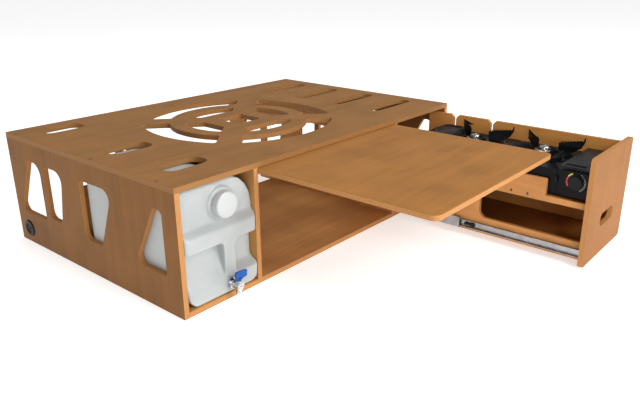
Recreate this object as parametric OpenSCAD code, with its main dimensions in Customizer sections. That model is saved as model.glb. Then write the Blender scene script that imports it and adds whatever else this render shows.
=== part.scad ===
// Vehicle camping and kitchen box: a low plywood platform with a water canister bay, a pull-out
// table and a pull-out kitchen drawer that carries two portable gas stoves.
// Millimetres, +Z up, +X along the front, +Y from the front to the back.
// The origin is the centre of the platform's footprint, on its underside.
// The moving pieces stand as photographed: table and drawer pulled out, taps and lids closed.

/* [Platform] */
// Width along the front
box_w = 1245; // [1100:5:1500]
// Depth from front to back
box_d = 825; // [760:5:1000]
// Height from the ground to the top of the platform
box_h = 350; // [330:5:420]
// Plywood thickness of the platform and the table
ply = 15; // [12:1:18]
// Depth of the bottom board, which stops short of the open back
bottom_d = 600; // [520:10:750]

/* [Bays] */
// Clear width of the canister bay at the left
tank_bay_w = 240; // [225:1:270]
// Clear width of the drawer bay at the right
drawer_bay_w = 312; // [306:1:330]
// Distance from the front edge to the canister stop
stop_y = 440; // [438:2:480]
// Width of the canister stop
stop_w = 37; // [20:1:60]
// Height of the canister stop above the bottom board
stop_h = 235; // [120:5:250]

/* [Side windows] */
// Height of the windows' lower edge
win_z0 = 104; // [80:2:130]
// Height of the windows' upper edge
win_z1 = 280; // [250:2:300]
// How much higher the third window from the front starts
win_lift = 14; // [0:1:30]

/* [Top openings] */
// Radius of the ring pattern
ring_r = 303; // [270:1:320]
// Width of the ring pattern's outer slots
ring_slot_w = 78; // [50:1:84]
// Radius of the inner openings
ring_in_r = 178; // [160:1:200]
// Distance from the centre to the inner openings' straight edge
ring_flat = 107; // [90:1:120]
// Width of the diagonal bars between the openings
ring_bar_w = 70; // [40:1:80]
// Angle between the diagonal bars and the front edge
ring_bar_a = 41.5; // [40:0.5:50]
// Half width of the centre opening
ring_mid = 52; // [35:1:60]
// Distance of the ring's centre from the left end
ring_x = 580; // [560:1:600]
// Distance of the ring's centre from the front edge
ring_y = 408; // [390:1:425]
// Length of the four slots at the right
slot_l = 232; // [160:2:250]
// Width of the four slots at the right
slot_w = 56; // [40:1:70]
// Pitch of the four slots at the right
slot_pitch = 175; // [150:1:185]
// Distance from the right end to the four slots
slot_end = 50; // [30:1:60]
// Length of the three slots at the left
grip_l = 137; // [100:1:160]
// Width of the three slots at the left
grip_w = 73; // [50:1:80]
// Distance from the left end to the three slots
grip_x = 68; // [40:1:80]

/* [Table] */
// Length of the table board
table_l = 640; // [600:5:700]
// How far the table stands out of the platform
table_out = 545; // [420:5:560]
// Gap between the table and the top panel
table_gap = 1; // [0.5:0.1:3]
// Clearance at each side of the table
table_side_gap = 1; // [0.5:0.1:3]
// Radius of the table's front corners
table_corner_r = 22; // [5:1:40]
// Diameter of the nylon glides under the table
glide_d = 14; // [10:1:18]
// Length of the nylon glides
glide_l = 15; // [10:1:25]
// Distance from the front edge to the first glides
glide_y = 10; // [9:1:30]
// Distance between the first and the second glides
glide_pitch = 410; // [300:5:480]

/* [Drawer] */
// Length of the drawer box behind its front panel
drawer_l = 700; // [690:5:740]
// How far the drawer stands out of the platform
drawer_out = 650; // [640:1:650]
// Thickness of the drawer's boards
drawer_ply = 12; // [9:1:12]
// Height of the drawer's boards above the ground
drawer_z0 = 20; // [18:1:24]
// Height of the far side board's upper edge
far_z1 = 322; // [305:1:326]
// Height of the near side board's upper edge
near_z1 = 245; // [225:1:300]
// Height of the shelf's upper face
shelf_z = 194; // [190:1:198]
// Length of the notch in the near side board that clears the stove's dial
notch_l = 125; // [115:1:140]
// Length of the window in the near side board
side_win_l = 333; // [260:1:360]
// Height of the window's lower edge
side_win_z0 = 74; // [66:1:90]
// Height of the window's upper edge
side_win_z1 = 176; // [150:1:178]
// Width of the slots in the far side board
divider_slot_w = 9; // [6:1:14]
// Depth of the slots in the far side board
divider_slot_d = 60; // [40:1:90]
// Overlap of the front panel over the platform's divider
front_overlay = 6.5; // [4:0.5:10]
// Height of the front panel's lower edge
front_z0 = 4; // [3:1:8]
// Gap above the front panel
front_gap = 1; // [1:0.5:4]
// Radius of the front panel's corners
front_r = 11; // [4:1:20]
// Length of the handhold
hold_l = 112; // [90:1:140]
// Height of the handhold
hold_h = 42; // [30:1:50]
// Height of the handhold's centre
hold_z = 120; // [90:1:160]

/* [Slides] */
// Length of the ball slides
slide_l = 650; // [650:1:680]
// Thickness of a slide across the drawer
slide_t = 12.7; // [12.7:0.1:13.5]
// Height of the outer slide member
slide_h = 45.6; // [45:0.1:46.5]
// Sheet thickness of the slide members
slide_sheet = 1.2; // [1:0.1:1.4]
// Height of the slides' centre line
slide_z = 42; // [41:0.5:46]
// Space between two slide members' flanges for the balls
slide_race = 4.2; // [4:0.1:4.6]
// How much shorter the middle slide members are, at the front
mid_cut = 65; // [40:5:90]
// Clearance of a ball cage
cage_gap = 0.3; // [0.2:0.05:0.4]

/* [Canister] */
// Clearance between the canister and the bay at each side
tank_gap = 0.8; // [0.5:0.1:3]
// Clearance above the canister
tank_top_gap = 1.0; // [0.5:0.1:6]
// How far the canister's front lies behind the platform's front edge
tank_y = -5; // [-8:1:4]
// Length of the canister from front to back
tank_l = 436; // [410:1:440]
// Wall thickness of the canister
tank_wall = 3; // [2:0.5:4]
// Radius of the canister's front right edge
tank_edge_r = 12; // [8:1:24]
// Distance of the neck from the left wall of the bay
neck_x = 132; // [125:1:140]
// Distance from the canister's top to the neck's centre
neck_drop = 64; // [58:1:70]
// Diameter of the screw cap
cap_d = 69; // [60:1:72]
// Height of the screw cap
cap_h = 24; // [16:1:30]
// Diameter of the collar under the cap
collar_d = 86; // [80:1:92]
// Height of the collar
collar_h = 7; // [4:1:9]
// Distance of the tap from the left wall of the bay
tap_x = 140; // [134:1:150]
// Height of the tap's centre line
tap_z = 47; // [42:1:52]
// Length of the tap in front of its flange
tap_l = 40; // [38:1:56]
// Length of the tap's lever from its stem
lever_l = 28; // [20:1:40]
// How far the neck's field lies behind the canister's front
neck_step = 19; // [12:1:22]
// Depth of the hand pockets
grip_d = 32; // [20:1:36]
// Distance from the platform's left end to the handle
grip_bar_x = 137; // [125:1:145]
// Width of the handle
grip_bar_w = 37; // [28:1:45]

/* [Stoves] */
// Length of a stove along the drawer
stove_l = 312; // [304:1:330]
// Depth of a stove's body
stove_d = 236; // [230:1:238]
// Height of a stove's body
stove_h = 76; // [70:1:84]
// Height of the rubber feet
foot_h = 6; // [4:1:8]
// Sheet thickness of the stove's body
stove_sheet = 1.2; // [1:0.1:2]
// Length of the cartridge bay across the stove
bay_l = 101; // [96:1:106]
// Height of the cartridge lid above the body
lid_h = 14; // [8:1:18]
// Distance from the stove's left end to the burner
burner_a = 117; // [115:1:119]
// Diameter of the burner cap
burner_d = 56; // [45:1:60]
// Radius of the trivet's arms
trivet_r = 133; // [115:1:134]
// Height of the trivet's tips above the body
trivet_h = 49; // [38:1:52]
// Diameter of the dial
dial_d = 46; // [40:1:52]
// Thickness of the dial
dial_t = 10; // [8:1:11]
// Distance from the stove's right end to the dial
dial_a = 41; // [38:1:44]
// Thickness of the panel round the dial
fascia_t = 8; // [6:1:9]

/* [Round fitting] */
// Diameter of the round fitting on the left panel
fitting_d = 54; // [44:1:60]
// Distance from the fitting to the back
fitting_back = 57; // [50:1:80]
// Height of the fitting's centre
fitting_z = 47; // [40:1:60]

/* [Hidden] */
$fn = 48;

birch = "#b07a45";
birch_edge = "#c89058";
steel = "#a9acb0";
enamel = "#1d1f22";

div_l_x = ply + tank_bay_w;
div_r_x = box_w - 2*ply - drawer_bay_w;
bay_x0 = div_l_x + ply;
under_top = box_h - ply;

// Moves a piece from the platform's front left corner to the footprint's centre.
module place() {
  translate([-box_w/2, -box_d/2, 0]) children();
}

// A polygon's points with each corner rounded to its own radius.
function unit(v) = v / norm(v);
function corner(p, q, s, r, n) =
  r <= 0 ? [q] :
  let(a = unit(p - q), b = unit(s - q), half = acos(a*b)/2,
      c = q + unit(a + b)*r/sin(half),
      v0 = q + a*r/tan(half) - c, v1 = q + b*r/tan(half) - c,
      t0 = atan2(v0.y, v0.x), t1 = atan2(v1.y, v1.x),
      turn = ((t1 - t0 + 540) % 360) - 180)
  [for (i = [0:n]) c + r*[cos(t0 + turn*i/n), sin(t0 + turn*i/n)]];
function rounded(p, r, n = 6) =
  let(k = len(p))
  [for (i = [0:k-1]) each corner(p[(i + k - 1) % k], p[i], p[(i + 1) % k], r[i], n)];

// A rounded rectangle about a centre.
function slot_pts(l, w, r, n = 6) =
  rounded([[-l/2, -w/2], [l/2, -w/2], [l/2, w/2], [-l/2, w/2]], [r, r, r, r], n);

// A flat board with an outline in Y and Z, standing across X.
module board_yz(x, t, pts) {
  translate([x, 0, 0])
    rotate([90, 0, 90]) linear_extrude(t) polygon(pts);
}

// A board with an outline in X and Z, standing across Y.
module board_xz(y, t, pts) {
  translate([0, y + t, 0])
    rotate([90, 0, 0]) linear_extrude(t) polygon(pts);
}

// The four windows of the end panels and dividers, in Y and Z from the front edge.
win_a = rounded([[58, win_z0], [190, win_z0], [92, win_z1], [58, win_z1]], [10, 24, 14, 16]);
win_b = rounded([[345, win_z0], [430, win_z0], [430, win_z1], [270, win_z1]], [10, 26, 16, 30]);
win_c = rounded([[552, win_z0 + win_lift], [620, win_z0 + win_lift], [620, win_z1], [518, win_z1]],
                [18, 22, 14, 34]);
win_d = rounded([[645, win_z0], [800, win_z0], [712, win_z1], [645, win_z1]], [10, 24, 14, 36]);

module windows(t) {
  for (w = [win_a, win_b, win_c, win_d]) board_yz(-1, t + 2, w);
}

module wall(x, z0) {
  translate([x, 0, 0])
    difference() {
      translate([0, 0, z0]) cube([ply, box_d, under_top - z0]);
      windows(ply);
    }
}

module side_panel_left() {
  color(birch) place() carcass_fixed() wall(0, 0);
}

module side_panel_right() {
  color(birch) place() carcass_fixed() wall(box_w - ply, 0);
}

module divider_left() {
  color(birch) place() wall(div_l_x, ply);
}

module divider_right() {
  color(birch) place() wall(div_r_x, ply);
}

module bottom_board() {
  color(birch) place() carcass_fixed()
    translate([ply, 0, 0]) cube([box_w - 2*ply, bottom_d, ply]);
}

// The opening between two diagonal bars. half is the angle from its axis to a bar's centre line,
// and at() gives the point on a bar's edge at a radius.
function at(r, half) = let(t = half - asin(ring_bar_w/(2*r))) r*[cos(t), sin(t)];
function arc_pts(r, half, n) =
  let(t = half - asin(ring_bar_w/(2*r))) [for (i = [0:n]) r*[cos(t - 2*t*i/n), sin(t - 2*t*i/n)]];
function far_pts(r, half, n) =
  let(q = at(r + ring_bulge, half), c = (q*q - r*r)/(2*(r - q.x)),
      t = atan2(q.y, q.x + c))
  [for (i = [0:n]) [(r + c)*cos(-t + 2*t*i/n) - c, (r + c)*sin(-t + 2*t*i/n)]];
ring_bulge = 8;

module ring_slot(half) {
  polygon(rounded(concat(far_pts(ring_r, half, 14), arc_pts(ring_r - ring_slot_w, half, 10)),
                  [for (i = [0:25]) i == 0 || i == 14 || i == 15 || i == 25 ? 9 : 0], 4));
  flat_y = ring_flat*tan(half) - ring_bar_w/2/cos(half);
  polygon(rounded(concat([for (i = [8:-1:0]) arc_pts(ring_in_r, half, 8)[i]],
                         [[ring_flat, flat_y], [ring_flat, -flat_y]]),
                  [for (i = [0:10]) i == 0 || i >= 8 ? 8 : 0], 4));
}

module top_holes() {
  translate([ring_x, ring_y])
    for (a = [0:90:270]) rotate(a) ring_slot(a % 180 == 0 ? ring_bar_a : 90 - ring_bar_a);
  translate([ring_x, ring_y]) polygon(slot_pts(2*ring_mid, 2*ring_mid, 14));
  for (i = [0:3])
    translate([box_w - slot_end - slot_l/2, box_d/2 + (i - 1.5)*slot_pitch])
      polygon(slot_pts(slot_l, slot_w, slot_w/2 - 3));
  for (y = [142, 382, 738])
    translate([grip_x + grip_l/2, y]) polygon(slot_pts(grip_l, grip_w, grip_w/2 - 7));
}

module top_panel() {
  color(birch) place() carcass_fixed() translate([0, 0, under_top])
    linear_extrude(ply) difference() {
      square([box_w, box_d]);
      top_holes();
    }
}

module canister_stop() {
  color(birch) place() translate([ply, stop_y, ply]) cube([stop_w, ply, stop_h]);
}

glide_z = under_top - table_gap - ply - glide_d/2 - 0.3;

module glide(x, dir, y) {
  translate([x, y, glide_z])
    rotate([0, 90*dir, 0]) {
      cylinder(h = glide_l - 3, d = glide_d);
      translate([0, 0, glide_l - 3]) cylinder(h = 3, d1 = glide_d, d2 = glide_d - 4);
    }
}

module table_glides() {
  color("#e9e7e0") place()
    for (y = [glide_y, glide_y + glide_pitch]) {
      glide(bay_x0, 1, y);
      glide(div_r_x, -1, y);
    }
}

module round_fitting() {
  color("#22242a") place()
    translate([0, box_d - fitting_back, fitting_z]) rotate([0, -90, 0])
      rotate_extrude()
        polygon([[fitting_d*0.26, 0], [fitting_d/2, 0], [fitting_d/2, 1.5],
                 [fitting_d/2 - 3, 4], [fitting_d*0.32, 4], [fitting_d*0.26, 1.5]]);
}

module fitting_core() {
  color(steel) place()
    translate([0, box_d - fitting_back, fitting_z]) rotate([0, -90, 0]) {
      cylinder(h = 1.2, d = fitting_d*0.52 - 0.4);
      cylinder(h = 3, d = 9);
    }
}

table_w = div_r_x - bay_x0 - 2*table_side_gap;

module table_board() {
  color(birch) place()
    translate([bay_x0 + table_side_gap, -table_out, under_top - table_gap - ply])
      linear_extrude(ply)
        polygon(rounded([[0, 0], [table_w, 0], [table_w, table_l], [0, table_l]],
                        [table_corner_r, table_corner_r, 3, 3]));
}

// Drawer. Its sides, bottom and shelf start at the back of the front panel.
near_x = div_r_x + ply + slide_t;
far_x = box_w - ply - slide_t;
in_x0 = near_x + drawer_ply;
in_x1 = far_x - drawer_ply;
y_front = -drawer_out;
y_rear = y_front + drawer_l;

module drawer_front() {
  x0 = div_r_x + ply - front_overlay;
  z1 = under_top - front_gap;
  color(birch) place() drawer_fixed()
    difference() {
      board_xz(y_front - ply, ply,
               rounded([[x0, front_z0], [box_w, front_z0], [box_w, z1], [x0, z1]],
                       [front_r, front_r, front_r, front_r]));
      translate([(x0 + box_w)/2, 0, hold_z])
        board_xz(y_front - ply - 1, ply + 2, slot_pts(hold_l, hold_h, hold_h/2 - 3));
    }
}

module drawer_side_near() {
  x1 = y_front + notch_l;
  wx = y_front + side_win_l;
  color(birch_edge) place() drawer_fixed()
    board_yz(near_x, drawer_ply,
             rounded([[y_front, drawer_z0], [y_rear, drawer_z0], [y_rear, near_z1],
                      [x1, near_z1], [x1, shelf_z], [y_front, shelf_z],
                      [y_front, side_win_z1], [wx, side_win_z1], [wx, side_win_z0],
                      [y_front, side_win_z0]],
                     [0, 0, 8, 6, 3, 0, 0, 22, 24, 0]));
}

module drawer_side_far() {
  z1 = far_z1;
  color(birch_edge) place() drawer_fixed()
    difference() {
      board_yz(far_x - drawer_ply, drawer_ply,
               rounded([[y_front, drawer_z0], [y_rear, drawer_z0], [y_rear, z1], [y_front, z1]],
                       [0, 0, 8, 0]));
      for (y = [-204, -58]) {
        board_yz(far_x - drawer_ply - 1, drawer_ply + 2,
                 rounded([[y - divider_slot_w/2, z1 - divider_slot_d],
                          [y + divider_slot_w/2, z1 - divider_slot_d],
                          [y + divider_slot_w/2, z1 - 12], [y + divider_slot_w/2 + 12, z1 + 1],
                          [y - divider_slot_w/2 - 12, z1 + 1], [y - divider_slot_w/2, z1 - 12]],
                         [3, 3, 8, 0, 0, 8]));
      }
    }
}

module drawer_back() {
  color(birch_edge) place()
    translate([in_x0, y_rear - drawer_ply, drawer_z0 + 6])
      cube([in_x1 - in_x0, drawer_ply, near_z1 - drawer_z0 - 6]);
}

module drawer_board(z) {
  translate([in_x0, y_front, z])
    cube([in_x1 - in_x0, drawer_l - drawer_ply, drawer_ply]);
}

module drawer_bottom() {
  color(birch_edge) place() drawer_fixed() drawer_board(drawer_z0 + 6);
}

module drawer_shelf() {
  color(birch_edge) place() drawer_fixed() drawer_board(shelf_z - drawer_ply);
}

// Three-part ball slides. Each member is a channel, drawn across X from the wall outwards.
mid_half = slide_h/2 - slide_sheet - slide_race;
in_half = mid_half - slide_sheet - slide_race;
lip = slide_t - slide_sheet;

module channel(u0, u1, half, open_out, l, y) {
  web = open_out ? u0 : u1 - slide_sheet;
  translate([0, y + l, 0]) rotate([90, 0, 0]) linear_extrude(l)
    polygon(open_out ?
      [[u0, -half], [u1, -half], [u1, -half + slide_sheet], [web + slide_sheet, -half + slide_sheet],
       [web + slide_sheet, half - slide_sheet], [u1, half - slide_sheet], [u1, half], [u0, half]] :
      [[u0, -half], [u1, -half], [u1, half], [u0, half], [u0, half - slide_sheet],
       [web, half - slide_sheet], [web, -half + slide_sheet], [u0, -half + slide_sheet]]);
}

module both_sides() {
  translate([div_r_x + ply, 0, slide_z]) children();
  translate([box_w - ply, 0, slide_z]) mirror([1, 0, 0]) children();
}

slide_y = 5;
mid_l = slide_l - mid_cut;
mid_y = slide_y - drawer_out/2 + mid_cut;
in_y = slide_y - drawer_out;

module slide_outers() {
  color(steel) place() both_sides()
    channel(0, lip, slide_h/2, true, slide_l, slide_y);
}

module slide_middles() {
  color(steel) place() both_sides()
    channel(slide_sheet + 0.5, lip, mid_half, true, mid_l, mid_y);
}

module slide_inners() {
  color(steel) place() both_sides()
    channel(2*slide_sheet + 1, slide_t, in_half, false, slide_l, in_y);
}

module cage(y, cage_l, half) {
  h = slide_race - 2*cage_gap;
  for (s = [-1, 1])
    translate([4, y, s*(half - slide_sheet - slide_race/2) - h/2]) cube([4.6, cage_l, h]);
}

module ball_cages() {
  color("#777b80") place() both_sides() {
    cage(slide_y + 5, slide_l - drawer_out/2 - 10, slide_h/2);
    cage(mid_y + 5, in_y + slide_l - mid_y - 10, mid_half);
  }
}

release_l = 31;
release_y = mid_y - 20;

module release() {
  translate([slide_t - slide_sheet - 6.5, release_y, 0]) {
    rotate([0, 90, 0]) cylinder(h = 6.2, d = 9);
    translate([0, -release_l, -3]) cube([6.2, release_l, 6]);
    translate([0, -release_l, -7]) cube([6.2, 8, 14]);
    translate([0, -release_l + 12, -6]) cube([6.2, 3, 12]);
  }
}

module slide_release_near() {
  color("#26282c") place()
    translate([div_r_x + ply, 0, slide_z]) release();
}

module slide_release_far() {
  color("#26282c") place()
    translate([box_w - ply, 0, slide_z]) mirror([1, 0, 0]) release();
}

// A stove lies with its length along the drawer. Its own frame has the front at -Y, the
// cartridge bay at +X and the shelf at z = 0.
stove_gap = 2;
front_stove_y = y_front + 2 + stove_l/2;
rear_stove_y = front_stove_y + stove_l + stove_gap;

module front_stove() {
  translate([in_x0 + 3 + stove_d/2, front_stove_y, shelf_z]) rotate(-90) children();
}

module rear_stove() {
  translate([in_x0 + 5 + stove_d/2, rear_stove_y, shelf_z]) rotate(90) children();
}

module each_stove() {
  place() front_stove() children();
  place() rear_stove() children();
}

box_l = stove_l - bay_l;
bay_a = stove_l/2 - bay_l;
burner_x = -stove_l/2 + burner_a;
burner_y = 5;
body_z1 = foot_h + stove_h;

function half_pts(l, w, r, q) =
  rounded([[-l/2, -w/2], [l/2, -w/2], [l/2, w/2], [-l/2, w/2]], [r, q, q, r]);

// The burner side is a deep pressed cover, open below, with a round well for the drip pan.
module stove_shell() {
  well_r = 86;
  difference() {
    translate([-stove_l/2 + box_l/2, 0, foot_h])
      linear_extrude(stove_h) polygon(half_pts(box_l, stove_d, 12, 1));
    translate([-stove_l/2 + box_l/2, 0, foot_h - 1])
      linear_extrude(stove_h - 10 - stove_sheet + 1)
        polygon(half_pts(box_l - 2*stove_sheet, stove_d - 2*stove_sheet, 11, 0.6));
    translate([burner_x, burner_y, body_z1 - 10]) cylinder(h = 11, r = well_r);
    translate([burner_x, burner_y, body_z1 - 30]) cylinder(h = 40, d = 30);
  }
}

module stove_bodies() {
  color(enamel) each_stove() stove_shell();
}

module trough() {
  translate([bay_a + bay_l/2 + 0.15, 0, foot_h])
    difference() {
      linear_extrude(stove_h) polygon(half_pts(bay_l - 0.3, stove_d, 1, 8));
      translate([0, 0, stove_sheet])
        linear_extrude(stove_h)
          polygon(half_pts(bay_l - 0.3 - 2*stove_sheet, stove_d - 2*stove_sheet, 0.6, 7));
    }
}

module cartridge_troughs() {
  color(enamel) each_stove() trough();
}

fascia_l = 2*dial_a + 8;
dial_z = 56;

module fascia() {
  x0 = stove_l/2 - fascia_l;
  difference() {
    translate([0, -stove_d/2 - fascia_t, 0])
      board_xz(0, fascia_t,
               rounded([[x0 + 16, foot_h + 4], [stove_l/2, foot_h + 4], [stove_l/2, body_z1 + 4],
                        [x0, body_z1 + 4], [x0, foot_h + 30]], [14, 8, 16, 10, 24]));
    translate([stove_l/2 - dial_a, -stove_d/2 + 1, dial_z])
      rotate([90, 0, 0]) cylinder(h = fascia_t + 2, d = 8.1);
  }
}

module stove_fascias() {
  color(enamel) each_stove() fascia();
}

module stove_feet() {
  color("#101113") each_stove()
    for (x = [-stove_l/2 + 26, stove_l/2 - 26], y = [-stove_d/2 + 26, stove_d/2 - 26])
      translate([x, y, 0]) cylinder(h = foot_h, d1 = 15, d2 = 18);
}

// The drip pan with its four toothed arms.
pan_r = 84;
arm_t = 2;

module arm() {
  teeth = 8;
  r0 = 46;
  z0 = body_z1 + 1.5;
  z1 = body_z1 + trivet_h - 10;
  z2 = body_z1 + trivet_h;
  step = (trivet_r - 6 - r0)/teeth;
  top = [for (i = [teeth-1:-1:0], k = [1, 0])
           [r0 + (i + k)*step, z1 + (z2 - 8 - z1)*(i + k)/teeth - (k == 0 ? 0 : 3)]];
  rotate([90, 0, 0]) translate([0, 0, -arm_t/2]) linear_extrude(arm_t)
    polygon(concat([[pan_r - 30, z0 - 4], [pan_r, z0 - 4], [pan_r + 6, z0],
                    [trivet_r - 12, z0 + 14], [trivet_r, z2 - 14], [trivet_r, z2],
                    [trivet_r - 3, z2]], top, [[r0, z0 + 8]]));
}

module stove_trivets() {
  color(enamel) each_stove()
    translate([burner_x, burner_y, 0]) {
      difference() {
        union() {
          translate([0, 0, body_z1 - 9.7]) cylinder(h = 3, r1 = 60, r2 = pan_r);
          translate([0, 0, body_z1 - 6.7]) cylinder(h = 8.2, r = pan_r);
        }
        translate([0, 0, body_z1 - 8.2]) cylinder(h = 12, r1 = 58, r2 = pan_r + 1);
        translate([0, 0, body_z1 - 11]) cylinder(h = 20, r = 34);
      }
      for (a = [45:90:315]) rotate(a) arm();
    }
}

module stove_burners() {
  color("#b9bbbd") each_stove()
    translate([burner_x, burner_y, body_z1 - 9.7])
      rotate_extrude()
        polygon([[0, 0], [22, 0], [24, 8], [33, 10], [33, 13], [burner_d/2, 15],
                 [burner_d/2, 22], [burner_d/2 - 4, 25], [12, 27], [0, 27]]);
}

module dial() {
  translate([stove_l/2 - dial_a, -stove_d/2 - fascia_t - 0.3, dial_z])
    rotate([90, 0, 0]) {
      cylinder(h = 3, d = dial_d);
      cylinder(h = dial_t - 0.3, d = dial_d - 8);
      translate([0, 0, -fascia_t + 1]) cylinder(h = fascia_t, d = 8);
      translate([0, 0, dial_t - 1.3]) linear_extrude(1) polygon(slot_pts(dial_d - 12, 7, 3));
    }
}

module dial_front() {
  color("#15171a") place() front_stove() dial();
}

module dial_rear() {
  color("#15171a") place() rear_stove() dial();
}

// The cartridge lid: a pressed hood that hinges on its long inner edge.
lid_w = bay_l - 3;
lid_t = 1.2;
lid_pts = rounded([[0, 0], [lid_w, 0], [lid_w, lid_h*0.55], [lid_w*0.72, lid_h], [0, lid_h]],
                  [0, 0, 10, 22, 4]);
lid_in = rounded([[lid_t, -1], [lid_w - lid_t, -1], [lid_w - lid_t, lid_h*0.55 - lid_t/2],
                  [lid_w*0.72 - lid_t/2, lid_h - lid_t], [lid_t, lid_h - lid_t]], [0, 0, 9, 21, 3]);

module lid() {
  l = stove_d - 3;
  translate([bay_a + 1.5, l/2, body_z1 + 0.3])
    rotate([90, 0, 0]) difference() {
      linear_extrude(l) polygon(lid_pts);
      translate([0, 0, lid_t]) linear_extrude(l - 2*lid_t) polygon(lid_in);
    }
}

module cartridge_lid_front() {
  color("#2a2c30") place() front_stove() lid();
}

module cartridge_lid_rear() {
  color("#2a2c30") place() rear_stove() lid();
}

module lock_lever() {
  translate([stove_l/2 - fascia_l - 13, -stove_d/2 - 6.3, foot_h + 38]) {
    cube([6, 6, 18]);
    translate([3, 0.5, 13]) rotate([90, 0, 0]) cylinder(h = 2.5, d = 5);
  }
}

module lock_lever_front() {
  color("#2f3135") place() front_stove() lock_lever();
}

module lock_lever_rear() {
  color("#2f3135") place() rear_stove() lock_lever();
}

// Canister: a hollow moulding whose form is where a front outline, a side profile and a plan
// with rounded corners meet. The neck lies in a lower field, above the moulded handle.
tank_x0 = ply + tank_gap;
tank_x1 = ply + tank_bay_w - tank_gap;
tank_z0 = ply + 0.3;
tank_z1 = under_top - tank_top_gap;
tank_y1 = tank_y + tank_l;
neck_y = tank_y + neck_step;
neck_z = tank_z1 - neck_drop;
nx = ply + neck_x;
tx = ply + tap_x;

// Moves every edge of an outline inwards, and each corner radius with it.
function inset(p, d) =
  let(k = len(p))
  [for (i = [0:k-1])
    let(u = unit(p[i] - p[(i + k - 1) % k]), v = unit(p[(i + 1) % k] - p[i]),
        m = [-u.y, u.x], n = [-v.y, v.x])
    p[i] + (m + n)*d/(1 + m*n)];
function soft(p, r, d, n = 5) =
  let(k = len(p))
  rounded(inset(p, d),
          [for (i = [0:k-1])
            let(u = p[i] - p[(i + k - 1) % k], v = p[(i + 1) % k] - p[i])
            max(0.6, r[i] + (u.x*v.y - u.y*v.x > 0 ? -d : d))], n);

shoulder_z = neck_z - 64;

module tank_form(d) {
  intersection() {
    board_xz(tank_y + d, tank_l - 2*d,
             soft([[tank_x0, tank_z0], [tank_x1, tank_z0], [tank_x1, tank_z1], [tank_x0, tank_z1]],
                  [46, 42, 90, 16], d));
    board_yz(tank_x0 - 1, tank_x1 - tank_x0 + 2,
             soft([[tank_y, tank_z0], [tank_y1, tank_z0], [tank_y1, tank_z1], [neck_y, tank_z1],
                   [neck_y, shoulder_z + 20], [tank_y, shoulder_z]],
                  [18, 22, 22, 22, 12, 14], d));
    translate([0, 0, tank_z0 - 1]) linear_extrude(tank_z1 - tank_z0 + 2)
      polygon(soft([[tank_x0, tank_y], [tank_x1, tank_y], [tank_x1, tank_y1], [tank_x0, tank_y1]],
                   [12, tank_edge_r, 24, 24], d));
  }
}

// The hand pocket left of the handle, and the step down at its right. Both get wider by d.
module pocket(x0, x1, z0, z1, slope, r, d) {
  yd = tank_y + grip_d + d;
  intersection() {
    board_yz(x0 - d, x1 - x0 + 2*d,
             soft([[tank_y - 9, z0 - d], [yd, z0 + slope], [yd, z1 - 6 + d], [tank_y - 9, z1 + 3 + d]],
                  [0, 20, 8, 0], 0));
    board_xz(tank_y - 9, grip_d + 30,
             rounded([[x0 - d, z0 - d], [x1 + d, z0 - d], [x1 + d, z1 + d], [x0 - d, z1 + d]],
                     [r, r, r, r] + d*[1, 1, 1, 1], 4));
  }
}

module grips(d) {
  pocket(tank_x0 - 60, grip_bar_x, 32, 168, 106, 12, d);
  pocket(grip_bar_x + grip_bar_w, tank_x1 + 60, 62, 166, 24, 20, d);
}

module canister() {
  color("#e8ebe9") place()
    difference() {
      union() {
        difference() {
          tank_form(0);
          grips(0);
        }
        translate([nx, neck_y + 6, neck_z]) rotate([90, 0, 0])
          cylinder(h = collar_h + 6, d = collar_d);
        translate([nx, neck_y, neck_z]) rotate([90, 0, 0])
          cylinder(h = collar_h + cap_h - 4, d = cap_d - 9);
      }
      difference() {
        tank_form(tank_wall);
        grips(tank_wall);
      }
      translate([nx, neck_y + 30, neck_z]) rotate([90, 0, 0])
        cylinder(h = 90, d = cap_d - 9 - 2*tank_wall);
      translate([tx, tank_y + 12, tap_z]) rotate([90, 0, 0]) cylinder(h = 24, d = 20);
    }
}

module canister_cap() {
  color("#f4f5f3") place()
    translate([nx, neck_y - collar_h - 0.3, neck_z]) rotate([90, 0, 0])
      rotate_extrude()
        polygon([[cap_d/2 - 4.2, 0], [cap_d/2 - 0.8, 0], [cap_d/2, 2], [cap_d/2, cap_h - 5],
                 [cap_d/2 - 1.2, cap_h - 2], [cap_d/2 - 4, cap_h - 0.6], [cap_d/2 - 8, cap_h],
                 [0, cap_h], [0, cap_h - 3], [cap_d/2 - 4.2, cap_h - 3]]);
}

// Ball tap: a threaded tail with a nut inside the canister, a flange, a hexagon, a body with a
// stem and a spout that points down.
stem_y = tap_l - 12;

module tap_body() {
  color("#c8ccd0") place()
    translate([tx, tank_y, tap_z]) rotate([90, 0, 0])
      difference() {
        union() {
          translate([0, 0, -16]) cylinder(h = 22, d = 19.4);
          translate([0, 0, -tank_wall - 6]) cylinder(h = 5.7, d = 29);
          translate([0, 0, 0.3]) cylinder(h = 3.7, d = 30);
          cylinder(h = tap_l - 4, d = 18);
          translate([0, 0, 7]) cylinder(h = 8, d = 24, $fn = 6);
          translate([0, 0, stem_y - 8]) cylinder(h = 15, d = 23);
          translate([0, 0, stem_y]) rotate([-90, 0, 0]) cylinder(h = 13, d = 12);
          translate([0, 0, stem_y]) rotate([-90, 0, 0]) cylinder(h = 22, d = 6);
          translate([0, 0, stem_y + 1]) rotate([90, 0, 0]) cylinder(h = 20, d = 17);
          translate([0, -15, stem_y + 1]) rotate([90, 0, 0]) cylinder(h = 8, d = 20);
        }
        translate([0, -13, stem_y + 1]) rotate([90, 0, 0]) cylinder(h = 14, d = 12);
      }
}

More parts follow.
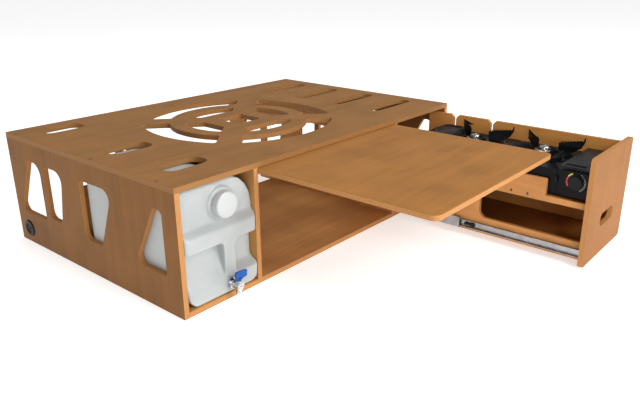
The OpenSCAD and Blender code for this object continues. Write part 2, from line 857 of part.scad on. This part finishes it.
// The lever stands across the tap when it is closed.
module tap_lever() {
  color("#1266b8") place()
    translate([tx, tank_y - stem_y, tap_z])
      difference() {
        union() {
          board_xz(-3, 6, rounded([[-6, 14], [7, 14], [12, 18], [lever_l - 2, 20], [lever_l, 36],
                                   [lever_l - 4, 38], [-10, 40], [-12, 26]],
                                  [1, 1, 3, 4, 2, 3, 4, 4], 4));
          translate([0, 0, 13.3]) cylinder(h = 8, d = 13);
        }
        translate([0, 0, 12]) cylinder(h = 11, d = 6.6);
      }
}

// Countersunk screws, with the same form cut out of the boards.
module screw(up = 0, l = 36) {
  rotate_extrude()
    polygon([[0, up], [4, up], [4, -0.8], [2, -2.8], [2, -l], [0, -l]]);
}

module carcass_screw_places() {
  for (x = [ply/2, box_w - ply/2], y = [75, 360, 775])
    translate([x, y, box_h]) children();
  for (s = [0, 1], y = [202, 572])
    translate([s*box_w, y, ply/2]) rotate([0, s*180 - 90, 0]) children();
}

module drawer_screw_places() {
  for (x = [in_x0 + 32, in_x1 - 25], z = [drawer_z0 + 6, shelf_z - drawer_ply])
    translate([x, y_front - ply, z + drawer_ply/2]) rotate([90, 0, 0]) children();
  for (y = [180, 232]) {
    translate([near_x, y_front + y, shelf_z - drawer_ply/2]) rotate([0, -90, 0]) children();
    translate([far_x, y_front + y, shelf_z - drawer_ply/2]) rotate([0, 90, 0]) children();
  }
}

module carcass_fixed() {
  difference() {
    children();
    carcass_screw_places() screw(1);
  }
}

module drawer_fixed() {
  difference() {
    children();
    drawer_screw_places() screw(1);
  }
}

module carcass_screws() {
  color("#4a4038") place() carcass_screw_places() screw(-0.2);
}

module drawer_screws() {
  color("#2c2a28") place() drawer_screw_places() screw(-0.2);
}

top_panel();
side_panel_left();
side_panel_right();
divider_left();
divider_right();
bottom_board();
canister_stop();
carcass_screws();
table_glides();
round_fitting();
fitting_core();
slide_outers();
slide_middles();
ball_cages();
slide_inners();
slide_release_near();
slide_release_far();
table_board();
drawer_front();
drawer_side_near();
drawer_side_far();
drawer_back();
drawer_bottom();
drawer_shelf();
drawer_screws();
stove_bodies();
cartridge_troughs();
stove_fascias();
stove_feet();
stove_trivets();
stove_burners();
dial_front();
dial_rear();
cartridge_lid_front();
cartridge_lid_rear();
lock_lever_front();
lock_lever_rear();
canister();
canister_cap();
tap_body();
tap_lever();
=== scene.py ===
import math

import bmesh
import bpy
from mathutils import Matrix, Vector


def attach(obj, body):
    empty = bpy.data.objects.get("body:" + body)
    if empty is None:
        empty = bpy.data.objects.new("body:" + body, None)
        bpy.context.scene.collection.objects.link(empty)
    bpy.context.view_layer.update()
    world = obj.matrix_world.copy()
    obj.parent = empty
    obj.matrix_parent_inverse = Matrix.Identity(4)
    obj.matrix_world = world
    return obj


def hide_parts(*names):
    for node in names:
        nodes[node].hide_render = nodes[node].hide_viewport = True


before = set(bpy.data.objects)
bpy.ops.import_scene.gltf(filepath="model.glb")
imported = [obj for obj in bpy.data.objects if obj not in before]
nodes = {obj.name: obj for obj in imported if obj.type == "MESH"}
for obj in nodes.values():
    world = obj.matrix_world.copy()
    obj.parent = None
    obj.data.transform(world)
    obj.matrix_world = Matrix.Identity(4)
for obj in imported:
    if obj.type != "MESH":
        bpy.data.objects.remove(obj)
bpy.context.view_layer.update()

# The same corner that the part's drawing counts from: left, front, floor, in millimetres.
CORNER = Vector((-622.5, -412.5, 0))


def at(x, y, z):
    """A drawing point in millimetres, in metres in the frame."""
    return (Vector((x, y, z)) + CORNER) / 1000


def linear(code):
    """An sRGB hex value as linear colour with alpha."""
    out = []
    for i in (0, 2, 4):
        c = int(code.lstrip("#")[i:i + 2], 16) / 255
        out.append(c / 12.92 if c <= 0.04045 else ((c + 0.055) / 1.055) ** 2.4)
    return (*out, 1.0)


def shade(code, k):
    """The same hue lighter or darker, as a hex value."""
    out = []
    for v in linear(code)[:3]:
        v = min(1.0, v * k)
        c = v * 12.92 if v <= 0.0031308 else 1.055 * v ** (1 / 2.4) - 0.055
        out.append("%02x" % round(c * 255))
    return "".join(out)


def add(tree, kind, links=None, inputs=None, **settings):
    """Adds one node, with its settings, its fixed inputs and its links from other sockets."""
    n = tree.nodes.new(kind)
    for k, v in settings.items():
        setattr(n, k, v)
    for k, v in (inputs or {}).items():
        n.inputs[k].default_value = v
    for k, v in (links or {}).items():
        tree.links.new(v, n.inputs[k])
    return n


def finish_named(name, **inputs):
    """A new material with its shader, and the object coordinates that its patterns read."""
    m = bpy.data.materials.new(name)
    m.use_nodes = True
    t = m.node_tree
    t.nodes.clear()
    shader = add(t, "ShaderNodeBsdfPrincipled", inputs=inputs)
    out = add(t, "ShaderNodeOutputMaterial", links={"Surface": shader.outputs[0]})
    coord = add(t, "ShaderNodeTexCoord")
    return m, t, shader, coord, out


def ramp(tree, fac, *stops):
    r = add(tree, "ShaderNodeValToRGB", links={"Fac": fac})
    e = r.color_ramp.elements
    e[0].position, e[0].color = stops[0][0], linear(stops[0][1])
    e[1].position, e[1].color = stops[-1][0], linear(stops[-1][1])
    for p, c in stops[1:-1]:
        x = e.new(p)
        x.color = linear(c)
    return r.outputs["Color"]


AXIS = {"x": Vector((1, 0, 0)), "y": Vector((0, 1, 0)), "z": Vector((0, 0, 1))}


# Birch plywood, oiled: rotary-cut face veneer with broad soft figure and short fibres, a thin
# matt oil film, and cut edges that show the crossed veneers as fine bands.
def oiled_birch_ply(name, grain, across, seed, tone, cut="#b57f4a", veneer_mm=1.4):
    m, t, shader, coord, _ = finish_named(name, **{"IOR": 1.45, "Specular IOR Level": 0.22})
    obj = coord.outputs["Object"]
    scale = [0.07 if a == grain else 1.0 for a in "xyz"]
    along = add(t, "ShaderNodeMapping", links={"Vector": obj},
                inputs={"Scale": scale, "Location": (seed * 1.7, seed * 0.9, seed * 2.3)})
    broad = add(t, "ShaderNodeTexNoise", links={"Vector": along.outputs[0]},
                inputs={"Scale": 30.0, "Detail": 5.0, "Roughness": 0.55, "Distortion": 0.9})
    fibre = add(t, "ShaderNodeTexNoise", links={"Vector": along.outputs[0]},
                inputs={"Scale": 420.0, "Detail": 3.0, "Roughness": 0.6})
    cloud = add(t, "ShaderNodeTexNoise", links={"Vector": obj},
                inputs={"Scale": 6.0 + seed % 3, "Detail": 3.0, "Roughness": 0.5})
    a = add(t, "ShaderNodeMath", links={0: broad.outputs["Fac"], 1: cloud.outputs["Fac"]}, operation="ADD")
    b = add(t, "ShaderNodeMath", links={0: fibre.outputs["Fac"]}, inputs={1: 0.45}, operation="MULTIPLY")
    c = add(t, "ShaderNodeMath", links={0: a.outputs[0], 1: b.outputs[0]}, operation="ADD")
    d = add(t, "ShaderNodeMath", links={0: c.outputs[0]}, inputs={1: 0.408}, operation="MULTIPLY")
    face = ramp(t, d.outputs[0], (0.36, shade(tone, 0.8)), (0.5, tone), (0.66, shade(tone, 1.17)))
    # Cut edge: bands across the thickness, light where the veneer is cut along its fibres.
    split = add(t, "ShaderNodeSeparateXYZ", links={"Vector": obj})
    band = add(t, "ShaderNodeMath", links={0: split.outputs[across.upper()]},
               inputs={1: math.pi * 1000 / veneer_mm}, operation="MULTIPLY")
    wave = add(t, "ShaderNodeMath", links={0: band.outputs[0]}, operation="SINE")
    soft = add(t, "ShaderNodeMapRange", links={"Value": wave.outputs[0]},
               inputs={"From Min": -0.5, "From Max": 0.5})
    mixed = add(t, "ShaderNodeMath", links={0: soft.outputs[0], 1: fibre.outputs["Fac"]}, operation="ADD")
    edge = ramp(t, mixed.outputs[0], (0.35, shade(cut, 0.62)), (0.8, cut), (1.0, shade(cut, 1.18)))
    turn = add(t, "ShaderNodeVectorMath", links={0: coord.outputs["Normal"]},
               inputs={1: AXIS[across]}, operation="DOT_PRODUCT")
    size = add(t, "ShaderNodeMath", links={0: turn.outputs["Value"]}, operation="ABSOLUTE")
    pick = add(t, "ShaderNodeMapRange", links={"Value": size.outputs[0]},
               inputs={"From Min": 0.55, "From Max": 0.8})
    col = add(t, "ShaderNodeMix", data_type="RGBA", links={0: pick.outputs[0], 6: edge, 7: face})
    t.links.new(col.outputs[2], shader.inputs["Base Color"])
    rough = add(t, "ShaderNodeMapRange", links={"Value": fibre.outputs["Fac"]},
                inputs={"From Min": 0.3, "From Max": 0.7, "To Min": 0.5, "To Max": 0.66})
    t.links.new(rough.outputs[0], shader.inputs["Roughness"])
    bump = add(t, "ShaderNodeBump", links={"Height": c.outputs[0]}, inputs={"Strength": 0.12, "Distance": 0.0006})
    t.links.new(bump.outputs[0], shader.inputs["Normal"])
    return m


# Steel strip, zinc-plated and rolled: bright, with long fine rolling lines and cloudy spots.
def rolled_zinc_steel(name="rolled_zinc_steel", tone=("#8d8e91", "#c3c4c7")):
    m, t, shader, coord, _ = finish_named(name, **{"Metallic": 1.0})
    obj = coord.outputs["Object"]
    lines = add(t, "ShaderNodeMapping", links={"Vector": obj}, inputs={"Scale": (1, 0.01, 1)})
    fine = add(t, "ShaderNodeTexNoise", links={"Vector": lines.outputs[0]},
               inputs={"Scale": 900.0, "Detail": 2.0})
    cloud = add(t, "ShaderNodeTexNoise", links={"Vector": obj}, inputs={"Scale": 40.0, "Detail": 4.0})
    both = add(t, "ShaderNodeMath", links={0: fine.outputs["Fac"], 1: cloud.outputs["Fac"]}, operation="MULTIPLY")
    t.links.new(ramp(t, both.outputs[0], (0.12, tone[0]), (0.42, tone[1])), shader.inputs["Base Color"])
    rough = add(t, "ShaderNodeMapRange", links={"Value": cloud.outputs["Fac"]},
                inputs={"From Min": 0.3, "From Max": 0.7, "To Min": 0.26, "To Max": 0.44})
    t.links.new(rough.outputs[0], shader.inputs["Roughness"])
    bump = add(t, "ShaderNodeBump", links={"Height": fine.outputs["Fac"]}, inputs={"Strength": 0.08, "Distance": 0.0002})
    t.links.new(bump.outputs[0], shader.inputs["Normal"])
    return m


# A moulded or painted skin: one colour that drifts a little, with fine orange peel or spark
# texture of a real grain size in millimetres.
def skin(name, low, high, rough, grain_mm, depth_mm, **inputs):
    m, t, shader, coord, _ = finish_named(name, **inputs)
    obj = coord.outputs["Object"]
    drift = add(t, "ShaderNodeTexNoise", links={"Vector": obj}, inputs={"Scale": 22.0, "Detail": 4.0, "Roughness": 0.6})
    t.links.new(ramp(t, drift.outputs["Fac"], (0.35, low), (0.65, high)), shader.inputs["Base Color"])
    grain = add(t, "ShaderNodeTexNoise", links={"Vector": obj}, inputs={"Scale": 1000 / grain_mm, "Detail": 2.0})
    r = add(t, "ShaderNodeMapRange", links={"Value": drift.outputs["Fac"]},
            inputs={"From Min": 0.3, "From Max": 0.7, "To Min": rough[0], "To Max": rough[1]})
    t.links.new(r.outputs[0], shader.inputs["Roughness"])
    bump = add(t, "ShaderNodeBump", links={"Height": grain.outputs["Fac"]},
               inputs={"Strength": 0.3, "Distance": depth_mm / 1000})
    t.links.new(bump.outputs[0], shader.inputs["Normal"])
    return m


zinc_steel = rolled_zinc_steel()
screw_steel = rolled_zinc_steel("blackened_screw_steel", ("#3a3630", "#6b655c"))
# Stove enamel: sprayed black over pressed sheet, satin with a little orange peel.
black_enamel = skin("sprayed_black_enamel", "#08090a", "#0f1012", (0.3, 0.45), 2.5, 0.03, IOR=1.5,
                    **{"Specular IOR Level": 0.14})
lid_enamel = skin("sprayed_graphite_enamel", "#141518", "#1c1d20", (0.3, 0.45), 2.5, 0.03, IOR=1.5,
                  **{"Specular IOR Level": 0.2})
# Vitreous enamel on the pan and its arms: fired, glossier, slightly wavy.
fired_enamel = skin("fired_black_enamel", "#0a0b0c", "#121315", (0.14, 0.26), 4.0, 0.05, IOR=1.52,
                    **{"Specular IOR Level": 0.3})
burner_metal = skin("cast_burner_metal", "#94938f", "#c4c3bf", (0.14, 0.28), 1.2, 0.05, Metallic=1.0)
foot_rubber = skin("moulded_foot_rubber", "#101011", "#1a1a1b", (0.7, 0.85), 0.8, 0.05, IOR=1.5)
black_moulding = skin("moulded_black_abs", "#0a0b0d", "#131417", (0.36, 0.5), 0.6, 0.03, IOR=1.53,
                      **{"Specular IOR Level": 0.2})
# Deep black: the fitting's core, and the painted shade laid in the screw heads' cross recesses.
core_black_and_recess_shade = skin("deep_black_moulding_and_recess_shade", "#050506", "#0c0c0d", (0.5, 0.65), 0.6, 0.03, IOR=1.5)
white_nylon = skin("turned_white_nylon", "#dedad0", "#ebe8df", (0.35, 0.5), 0.8, 0.03, IOR=1.53)
# Chrome over brass: near mirror, with the faint waviness of a small casting.
chrome = skin("chromed_brass", "#b9bcbf", "#dadcde", (0.08, 0.18), 3.0, 0.04, Metallic=1.0)
blue_vinyl = skin("dipped_blue_vinyl", "#054a94", "#0a58a8", (0.22, 0.34), 2.0, 0.05, IOR=1.52,
                  **{"Specular IOR Level": 0.3})


# Natural polythene, blow-moulded: milky, light passes a little way in, waxy shine, faint waves.
def blown_polythene(name, low, high, wave):
    m, t, shader, coord, _ = finish_named(
        name, **{"IOR": 1.51, "Subsurface Weight": 0.35, "Subsurface Scale": 0.02,
                 "Subsurface Radius": (1.0, 0.95, 0.85), "Coat Weight": 0.1, "Coat Roughness": 0.3})
    obj = coord.outputs["Object"]
    drift = add(t, "ShaderNodeTexNoise", links={"Vector": obj}, inputs={"Scale": 9.0, "Detail": 3.0})
    t.links.new(ramp(t, drift.outputs["Fac"], (0.35, low), (0.65, high)), shader.inputs["Base Color"])
    r = add(t, "ShaderNodeMapRange", links={"Value": drift.outputs["Fac"]},
            inputs={"From Min": 0.3, "From Max": 0.7, "To Min": 0.28, "To Max": 0.42})
    t.links.new(r.outputs[0], shader.inputs["Roughness"])
    swell = add(t, "ShaderNodeTexNoise", links={"Vector": obj}, inputs={"Scale": 30.0, "Detail": 2.0})
    bump = add(t, "ShaderNodeBump", links={"Height": swell.outputs["Fac"]},
               inputs={"Strength": wave, "Distance": 0.002})
    t.links.new(bump.outputs[0], shader.inputs["Normal"])
    return m


tank_skin = blown_polythene("blown_white_polythene", "#a4a9a9", "#b0b4b3", 0.25)
cap_skin = blown_polythene("moulded_white_polythene", "#b4b8b8", "#bec1c0", 0.08)


def printed_ink(name, code):
    return skin(name, code, code, (0.4, 0.5), 0.6, 0.01, IOR=1.5)


red_ink = printed_ink("screen_printed_red", "#c8343a")
yellow_ink = printed_ink("screen_printed_yellow", "#c9bf55")
grey_ink = printed_ink("screen_printed_grey", "#9b9c9c")


def paint(node, material):
    o = nodes[node]
    o.data.materials.clear()
    o.data.materials.append(material)


def piece(name, bm, material, body, smooth=40, bevel=0.0, steps=2):
    """Turns a finished bmesh into a piece that rides on a body."""
    me = bpy.data.meshes.new(name)
    bm.to_mesh(me)
    bm.free()
    o = bpy.data.objects.new(name, me)
    bpy.context.scene.collection.objects.link(o)
    me.materials.append(material)
    me.shade_smooth()
    me.set_sharp_from_angle(angle=math.radians(smooth))
    if bevel:
        b = o.modifiers.new("soft_arris", "BEVEL")
        b.width = bevel
        b.segments = steps
        b.limit_method = "ANGLE"
        b.angle_limit = math.radians(40)
        b.harden_normals = True
    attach(o, body)
    return o


def copied(node):
    """The node's mesh as one clean surface: doubles merged and flat triangles joined."""
    bm = bmesh.new()
    bm.from_mesh(nodes[node].data)
    bmesh.ops.remove_doubles(bm, verts=bm.verts, dist=2e-6)
    bmesh.ops.dissolve_limit(bm, angle_limit=math.radians(1.0), verts=bm.verts, edges=bm.edges)
    return bm


def softened(node, material, body, arris, smooth=30, steps=2):
    """The node again with its sharp arrises broken, as sanding or pressing leaves them."""
    o = piece(node + "_sanded", copied(node), material, body, smooth, arris, steps)
    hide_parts(node)
    return o


# Boards: which way the face veneer runs, which way the thickness lies, and how dark the sheet is; the far drawer side's
# tone also carries painted light.
boards = [
    ("top_panel", "carcass", "x", "z", 1, "#936636", 0.0012),
    ("side_panel_left", "carcass", "z", "x", 2, "#86592b", 0.0012),
    ("side_panel_right", "carcass", "z", "x", 3, "#86592b", 0.0012),
    ("divider_left", "carcass", "z", "x", 4, "#b7834b", 0.0012),
    ("divider_right", "carcass", "z", "x", 5, "#b7834b", 0.0012),
    ("bottom_board", "carcass", "x", "z", 6, "#c79259", 0.0012),
    ("canister_stop", "carcass", "x", "y", 7, "#a0703e", 0.0008),
    ("table_board", "table", "x", "z", 8, "#a36e35", 0.0025),
    ("drawer_front", "drawer", "z", "y", 9, "#915e2b", 0.0018),
    ("drawer_side_near", "drawer", "y", "x", 10, "#c98f55", 0.001),
    # The far drawer side is toned lighter than its sheet: painted light on its lit inner face.
    ("drawer_side_far", "drawer", "y", "x", 11, "#d9964f", 0.001),
    ("drawer_back", "drawer", "x", "y", 12, "#b07b44", 0.001),
    ("drawer_bottom", "drawer", "y", "z", 13, "#96602e", 0.0008),
    ("drawer_shelf", "drawer", "y", "z", 14, "#96602e", 0.0008),
]
for node, body, grain, across, seed, tone, arris in boards:
    # The top panel's cut edges are darker: painted shade, matching its left edge lying in shade.
    cut = "#94693c" if node == "top_panel" else "#b57f4a"
    ply = oiled_birch_ply("oiled_birch_ply_" + node, grain, across, seed, tone, cut)
    softened(node, ply, body, arris)

for node, material in [
    ("carcass_screws", screw_steel), ("drawer_screws", screw_steel), ("table_glides", white_nylon),
    ("round_fitting", black_moulding), ("fitting_core", core_black_and_recess_shade), ("slide_outers", zinc_steel),
    ("slide_middles", zinc_steel), ("ball_cages", zinc_steel), ("slide_inners", zinc_steel),
    ("slide_release_near", black_moulding), ("slide_release_far", black_moulding),
    ("stove_bodies", black_enamel), ("cartridge_troughs", black_enamel), ("stove_fascias", black_enamel),
    ("stove_feet", foot_rubber), ("stove_trivets", fired_enamel),
    ("dial_front", black_moulding), ("dial_rear", black_moulding),
    ("cartridge_lid_front", lid_enamel), ("cartridge_lid_rear", lid_enamel),
    ("lock_lever_front", black_moulding), ("lock_lever_rear", black_moulding),
    ("canister_cap", cap_skin), ("tap_body", chrome), ("tap_lever", blue_vinyl),
]:
    paint(node, material)

# The stoves' own frames: front at -Y, cartridge bay at +X, shelf at z = 0, in millimetres.
BURNER = (-39, 5, 0)
DIAL_X, DIAL_Z = 115, 56
PRINT_Y = -126.25
STOVES = {
    side: Matrix.Translation(at(x, y, 194)) @ Matrix.Rotation(math.radians(turn), 4, "Z") @ Matrix.Scale(0.001, 4)
    for side, x, y, turn in (("front", 1063.7, -492, -90), ("rear", 1065.7, -178, 90))
}


def merged(bm, part):
    """Adds a finished part to a larger mesh."""
    me = bpy.data.meshes.new("part")
    part.to_mesh(me)
    part.free()
    bm.from_mesh(me)
    bpy.data.meshes.remove(me)


def turned(bm, profile, steps, centre):
    """A profile of (radius, height) points turned once about an upright axis through a centre."""
    verts = [bm.verts.new((r, 0, z)) for r, z in profile]
    edges = [bm.edges.new(pair) for pair in zip(verts, verts[1:])]
    bmesh.ops.spin(bm, geom=verts + edges, cent=(0, 0, 0), axis=(0, 0, 1), angle=2 * math.pi, steps=steps,
                   use_merge=True)
    new = {v for f in bm.faces for v in f.verts if not f.tag}
    for f in bm.faces:
        f.tag = True
    bmesh.ops.translate(bm, verts=list(new), vec=centre)


def block(bm, size, matrix):
    """A rectangular block, its centre and turn given by a matrix."""
    bmesh.ops.create_cube(bm, size=1.0, matrix=matrix @ Matrix.Diagonal((*size, 1)))
    for f in bm.faces:
        f.tag = True


def closed(bm, weld=0.001):
    bmesh.ops.remove_doubles(bm, verts=bm.verts, dist=weld)
    bmesh.ops.recalc_face_normals(bm, faces=bm.faces)
    return bm


# Burner heads: a turned foot, a crown whose flame ports are open between two rings, and a drum.
bm = bmesh.new()
for where in STOVES.values():
    one = bmesh.new()
    centre = BURNER
    turned(one, [(0, 72.3), (22, 72.3), (24, 80.3), (30, 82), (30, 86), (26, 90), (0, 90)], 40, centre)
    turned(one, [(21, 88), (28, 88), (29, 89.5), (28, 91), (21, 91), (21, 88)], 40, centre)
    turned(one, [(20, 97), (27, 97), (28.5, 98.5), (27, 100), (20, 100.5), (20, 97)], 40, centre)
    for k in range(20):
        turn = Matrix.Translation(centre) @ Matrix.Rotation(math.radians(18 * k), 4, "Z")
        block(one, (7, 3.4, 7), turn @ Matrix.Translation((24, 0, 94)))
    turned(one, [(0, 95), (15, 95), (15, 108), (14, 109.6), (12, 110), (9, 108), (0, 108)], 40, centre)
    closed(one)
    one.transform(where)
    merged(bm, one)
burners = piece("burner_heads", bm, burner_metal, "drawer", 35)
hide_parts("stove_burners")


def ramp_plate(bm, size, matrix):
    """A thin plate cut along its diagonal: upright at one end, running down to a point."""
    one = bmesh.new()
    bmesh.ops.create_cube(one, size=1.0, matrix=Matrix.Diagonal((*size, 1)))
    cut = bmesh.ops.bisect_plane(one, geom=one.verts[:] + one.edges[:] + one.faces[:], plane_co=(0, 0, 0),
                                 plane_no=Vector((size[2], 0, size[0])).normalized(), clear_outer=True)
    bmesh.ops.edgenet_fill(one, edges=[e for e in cut["geom_cut"] if isinstance(e, bmesh.types.BMEdge)])
    one.transform(matrix)
    merged(bm, one)


# Trivet arms: saw teeth pressed up along the level edge, and folded wings at two of the tips.
bm = bmesh.new()
for where in STOVES.values():
    hub = where @ Matrix.Translation(BURNER)
    for arm in (45, 135, 225, 315):
        turn = hub @ Matrix.Rotation(math.radians(arm), 4, "Z")
        for k in range(7):
            ramp_plate(bm, (10, 2, 4.5), turn @ Matrix.Translation((57 + 10.5 * k, 0, 122.6 - 0.2 * k)))
        if arm in (135, 315):
            # The wing beside the cartridge lid is the lower one, so that the lid opens past it.
            low, high = 97.5 if arm == 135 else 110.5, 130.5
            ramp_plate(bm, (36, 2, high - low), turn @ Matrix.Translation((131.5, 0, (high + low) / 2)) @
                       Matrix.Rotation(math.radians(-90), 4, "Z") @ Matrix.Translation((18, 0, 0)))
piece("trivet_teeth", closed(bm, 1e-7), fired_enamel, "drawer", 30)


def sector(bm, r0, r1, a0, a1, steps):
    """A printed arc round the dial, seen from outside with x to the right and z up."""
    here = Matrix.Translation((DIAL_X, PRINT_Y, DIAL_Z))
    verts = [bm.verts.new(here @ Vector((r * math.cos(math.radians(a0)), 0, r * math.sin(math.radians(a0)))))
             for r in (r0, r1)]
    edge = bm.edges.new(verts)
    bmesh.ops.spin(bm, geom=verts + [edge], cent=(DIAL_X, PRINT_Y, DIAL_Z), axis=(0, -1, 0),
                   angle=math.radians(a1 - a0), steps=steps)


PRINTS = {
    "red": (red_ink, [(24.5, 29, 152, 214, 16)]),
    "yellow": (yellow_ink, [(24.5, 29, 116, 149, 10)]),
    "grey": (grey_ink, [(25, 26, -62, 62, 28), (28, 28.8, -62, 62, 28)] +
             [(26, 28, a, a + 2.5, 1) for a in range(-60, 61, 20)]),
}
for side, where in STOVES.items():
    for colour, (ink, arcs) in PRINTS.items():
        bm = bmesh.new()
        for arc in arcs:
            sector(bm, *arc)
        bmesh.ops.recalc_face_normals(bm, faces=bm.faces)
        bmesh.ops.solidify(bm, geom=bm.faces, thickness=0.12)
        closed(bm, 0.0005)
        bm.transform(where)
        piece("dial_print_%s_%s" % (colour, side), bm, ink, "drawer", 30)

    # Three pressed ribs across the fascia's upper corner, and the grip moulded on the lid's end.
    bm = bmesh.new()
    for k in range(3):
        block(bm, (22, 1.0, 1.6), Matrix.Translation((139, -126.2, 77 - 3.4 * k)))
    bmesh.ops.bevel(bm, geom=bm.edges, offset=0.3, segments=2, affect="EDGES", profile=0.5, material=-1)
    closed(bm, 0.0005)
    bm.transform(where)
    piece("fascia_ribs_" + side, bm, black_enamel, "drawer", 35)
    bm = bmesh.new()
    for k in range(4):
        block(bm, (58, 1.6, 1.2), Matrix.Translation((100, -104 + 5 * k, 96.6)))
    block(bm, (20, 1.2, 7), Matrix.Translation((112, -117.2, 89)))
    bmesh.ops.bevel(bm, geom=bm.edges, offset=0.4, segments=2, affect="EDGES", profile=0.5, material=-1)
    closed(bm, 0.0005)
    bm.transform(where)
    piece("lid_ribs_" + side, bm, lid_enamel, "lid_" + side, 35)


# Screw heads: a thin dark cross laid in each, painted shade standing in for the cross recess.
def painted_recess_shade(bm, x, y, z, along):
    turn = Matrix.Translation(at(x, y, z)) @ Vector(along).to_track_quat("Z", "Y").to_matrix().to_4x4()
    # Two crossed dark plates: painted shade where the recess would be.
    for k in (45, 135):
        block(bm, (0.0046, 0.001, 0.0003), turn @ Matrix.Rotation(math.radians(k), 4, "Z"))


bm = bmesh.new()
for x in (7.5, 1237.5):
    for y in (75, 360, 775):
        painted_recess_shade(bm, x, y, 349.8, (0, 0, 1))
for y in (202, 572):
    painted_recess_shade(bm, 0.2, y, 7.5, (-1, 0, 0))
    painted_recess_shade(bm, 1244.8, y, 7.5, (1, 0, 0))
piece("screw_recess_shade", closed(bm, 1e-7), core_black_and_recess_shade, "carcass", 30)

# Canister: the moulding's outer skin alone, closed at the neck and the tap, as one soft surface.
bm = bmesh.new()
bm.from_mesh(nodes["canister"].data)
bmesh.ops.remove_doubles(bm, verts=bm.verts, dist=2e-6)
neck, tap = at(147, 0, 270), at(155, 0, 47)
gone = []
for f in bm.faces:
    c = f.calc_center_median()
    r_neck, r_tap = math.hypot(c.x - neck.x, c.z - neck.z), math.hypot(c.x - tap.x, c.z - tap.z)
    if (r_neck < 0.0305 and abs(c.y - at(0, -13, 0).y) < 0.0006) or (0.009 < r_tap < 0.0104 and c.y < at(0, 0, 0).y):
        gone.append(f)
bmesh.ops.delete(bm, geom=gone, context="FACES")
edge_vert = max(bm.verts, key=lambda v: v.co.x)
keep, front = {edge_vert}, [edge_vert]
while front:
    v = front.pop()
    for e in v.link_edges:
        o = e.other_vert(v)
        if o not in keep and e.link_faces:
            keep.add(o)
            front.append(o)
bmesh.ops.delete(bm, geom=[v for v in bm.verts if v not in keep], context="VERTS")
bmesh.ops.holes_fill(bm, edges=[e for e in bm.edges if e.is_boundary], sides=0)
bmesh.ops.recalc_face_normals(bm, faces=bm.faces)
me = bpy.data.meshes.new("canister_form")
bm.to_mesh(me)
bm.free()
form = bpy.data.objects.new("canister_form", me)
bpy.context.scene.collection.objects.link(form)
even = form.modifiers.new("even", "REMESH")
even.mode = "VOXEL"
even.voxel_size = 0.003
relax = form.modifiers.new("relax", "SMOOTH")
relax.factor = 0.5
relax.iterations = 5
bpy.context.view_layer.update()
soft_form = bpy.data.meshes.new_from_object(form.evaluated_get(bpy.context.evaluated_depsgraph_get()))
bm = bmesh.new()
bm.from_mesh(soft_form)
bpy.data.objects.remove(form)
tank = piece("canister_skin", bm, tank_skin, "canister", 180)
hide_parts("canister")


# Floor, lights and camera. The floor is white studio paper, lit through from below.
paper, t, shader, coord, _ = finish_named(
    "studio_paper", **{"Roughness": 0.9, "Specular IOR Level": 0.1, "Emission Color": (1, 1, 1, 1),
                       "Emission Strength": 0.55})
tooth = add(t, "ShaderNodeTexNoise", links={"Vector": coord.outputs["Object"]}, inputs={"Scale": 3.0})
t.links.new(ramp(t, tooth.outputs["Fac"], (0.3, "#eeeeee"), (0.7, "#f2f2f2")), shader.inputs["Base Color"])
bm = bmesh.new()
bmesh.ops.create_grid(bm, x_segments=1, y_segments=1, size=60)
bmesh.ops.translate(bm, verts=bm.verts, vec=(0, 0, -0.0005))
me = bpy.data.meshes.new("studio_floor")
bm.to_mesh(me)
bm.free()
floor = bpy.data.objects.new("studio_floor", me)
bpy.context.scene.collection.objects.link(floor)
me.materials.append(paper)

world = bpy.data.worlds.new("studio_air")
world.use_nodes = True
world.node_tree.nodes["Background"].inputs[0].default_value = (1, 1, 1, 1)
world.node_tree.nodes["Background"].inputs[1].default_value = 0.42
bpy.context.scene.world = world


def soft_box(name, place, aim, size, power):
    lamp = bpy.data.lights.new(name, "AREA")
    lamp.shape = "DISK"
    lamp.size = size
    lamp.energy = power
    o = bpy.data.objects.new(name, lamp)
    bpy.context.scene.collection.objects.link(o)
    o.location = place
    o.rotation_euler = (Vector(aim) - Vector(place)).to_track_quat("-Z", "Y").to_euler()
    return o


soft_box("key_light", (2.0, -8.0, 2.7), (0.2, -0.3, 0.1), 3.2, 330)
soft_box("drawer_light", (-0.4, -2.9, 1.9), (0.45, -0.7, 0.25), 1.0, 36)
soft_box("fill_light", (-5.0, -5.0, 1.2), (0.0, 0.0, 0.2), 3.0, 80)
soft_box("top_light", (0.2, 0.6, 5.2), (0.2, 0.0, 0.3), 2.8, 70)

HEADING, PITCH, ROLL = 50.85, 20.27, 0.12
FOCAL_PX = 648.0
camera = bpy.data.cameras.new("photo_view")
camera.sensor_width = 36
camera.lens = FOCAL_PX / 640 * 36
camera.shift_x = -18.2 / 640
camera.clip_start = 0.01
eye = bpy.data.objects.new("photo_view", camera)
bpy.context.scene.collection.objects.link(eye)
h, p = math.radians(HEADING), math.radians(PITCH)
look = Vector((math.sin(h) * math.cos(p), math.cos(h) * math.cos(p), -math.sin(p)))
eye.matrix_world = (Matrix.Translation(at(-856.5, -1189.8, 845.2)) @ look.to_track_quat("-Z", "Y").to_matrix().to_4x4()
                    @ Matrix.Rotation(math.radians(ROLL), 4, "Z"))
bpy.context.scene.camera = eye
bpy.context.scene.view_settings.view_transform = "Standard"
